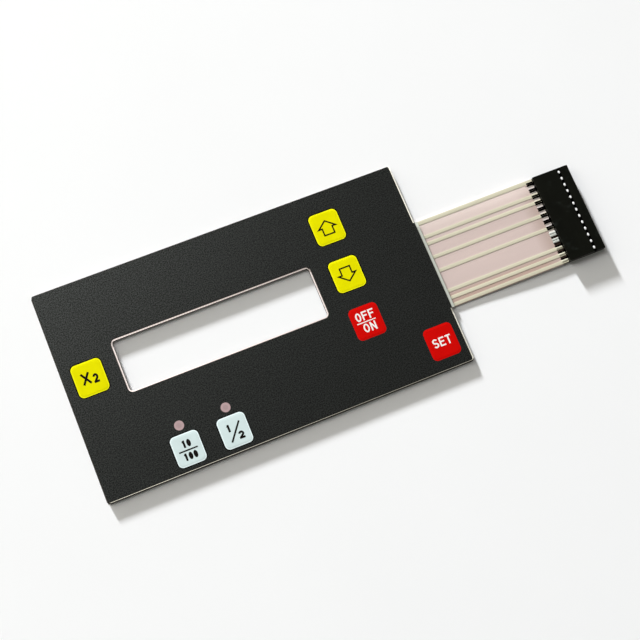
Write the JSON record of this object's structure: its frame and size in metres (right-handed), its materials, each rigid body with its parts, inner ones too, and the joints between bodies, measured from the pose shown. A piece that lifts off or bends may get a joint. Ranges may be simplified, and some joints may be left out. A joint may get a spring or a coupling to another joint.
{
  "type": "membrane keypad",
  "caption": "Flat laminated membrane keypad with coloured dome keys, an open display window, indicator windows and a flat printed tail ending in a crimp connector.",
  "frame": {"origin": "middle of the footprint, on the surface that the keypad lies on", "axes": "+X from the panel towards the connector, +Y towards the panel's top edge, +Z out of the front face"},
  "size_m": [0.1962, 0.0772, 0.0028],
  "materials": {
    "overlay_black": "fine velvet texture, printed black",
    "clear_adhesive": "clear pressure-sensitive adhesive",
    "retainer_film": "satin polyester film",
    "spacer_film": "adhesive-coated polyester film",
    "dome_steel": "stamped stainless steel",
    "circuit_film": "translucent pinkish polyester film",
    "silver_ink": "printed silver ink",
    "insulating_print": "cream dielectric print",
    "dark_adhesive": "thin dark foam tape",
    "liner_paper": "white coated release paper",
    "connector_black": "moulded black plastic",
    "contact_tin": "tin-plated sheet"
  },
  "bodies": {
    "root": {"graphic_overlay": "overlay_black", "overlay_adhesive": "clear_adhesive", "dome_retainer": "retainer_film", "dome_spacer": "spacer_film", "dome_left": "dome_steel", "dome_up": "dome_steel", "dome_down": "dome_steel", "dome_clear": "dome_steel", "dome_enter": "dome_steel", "dome_units": "dome_steel", "dome_half": "dome_steel", "circuit_film": "circuit_film", "track_left": "silver_ink", "track_up": "silver_ink", "track_down": "silver_ink", "track_clear": "silver_ink", "track_enter": "silver_ink", "track_units": "silver_ink", "track_half": "silver_ink", "track_common": "silver_ink", "tail_insulation": "insulating_print", "rear_adhesive": "dark_adhesive", "release_liner": "liner_paper", "connector_housing": "connector_black", "contact_01": "contact_tin", "contact_02": "contact_tin", "contact_03": "contact_tin", "contact_04": "contact_tin", "contact_05": "contact_tin", "contact_06": "contact_tin", "contact_07": "contact_tin", "contact_08": "contact_tin", "contact_09": "contact_tin", "contact_10": "contact_tin", "contact_11": "contact_tin", "contact_12": "contact_tin", "contact_13": "contact_tin"}
  },
  "joints": []
}
